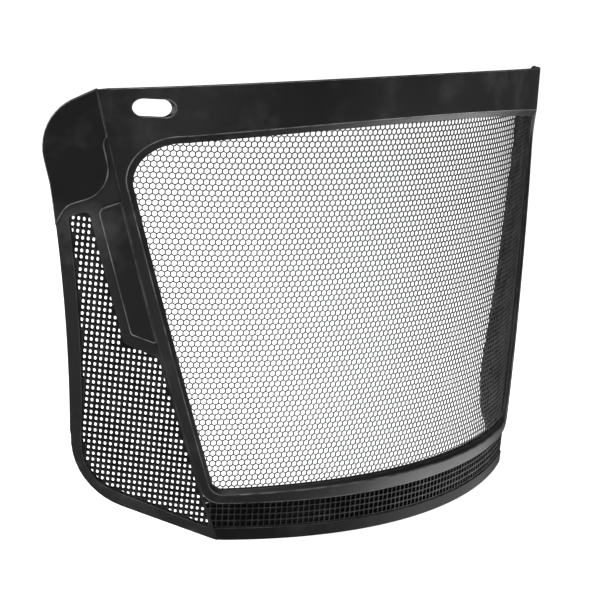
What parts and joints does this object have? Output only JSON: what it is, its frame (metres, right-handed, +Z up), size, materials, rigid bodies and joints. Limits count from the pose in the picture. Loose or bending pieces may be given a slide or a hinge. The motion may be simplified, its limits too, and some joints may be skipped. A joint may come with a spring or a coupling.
{
  "type": "mesh face shield",
  "caption": "Curved mesh visor for a safety helmet, with a slotted brow band, a hexagonal metal mesh window, folded vented side panels and a vented chin band.",
  "frame": {"origin": "midway between the middles of the two carrier slots, level with them and on the band's outer face at their distance back", "axes": "+X to the wearer's left, +Y from the visor's front towards the wearer's face, +Z up"},
  "size_m": [0.2996, 0.0756, 0.192],
  "materials": {
    "frame_plastic": "satin moulded black",
    "wing_plastic": "matte moulded black, fine grain",
    "grille_plastic": "matte moulded black",
    "stake_plastic": "melted satin black",
    "mesh_metal": "etched steel, black paint"
  },
  "bodies": {
    "root": {"front_frame": "frame_plastic", "mesh_screen": "mesh_metal", "mesh_retainer": "frame_plastic", "retainer_stakes": "stake_plastic", "left_temple_plate": "frame_plastic", "right_temple_plate": "frame_plastic", "left_side_wing": "wing_plastic", "right_side_wing": "wing_plastic", "left_side_grille": "grille_plastic", "right_side_grille": "grille_plastic", "left_cheek_pad": "wing_plastic", "right_cheek_pad": "wing_plastic", "left_temple_stakes": "stake_plastic", "right_temple_stakes": "stake_plastic", "chin_band": "wing_plastic", "chin_grille": "grille_plastic"}
  },
  "joints": []
}
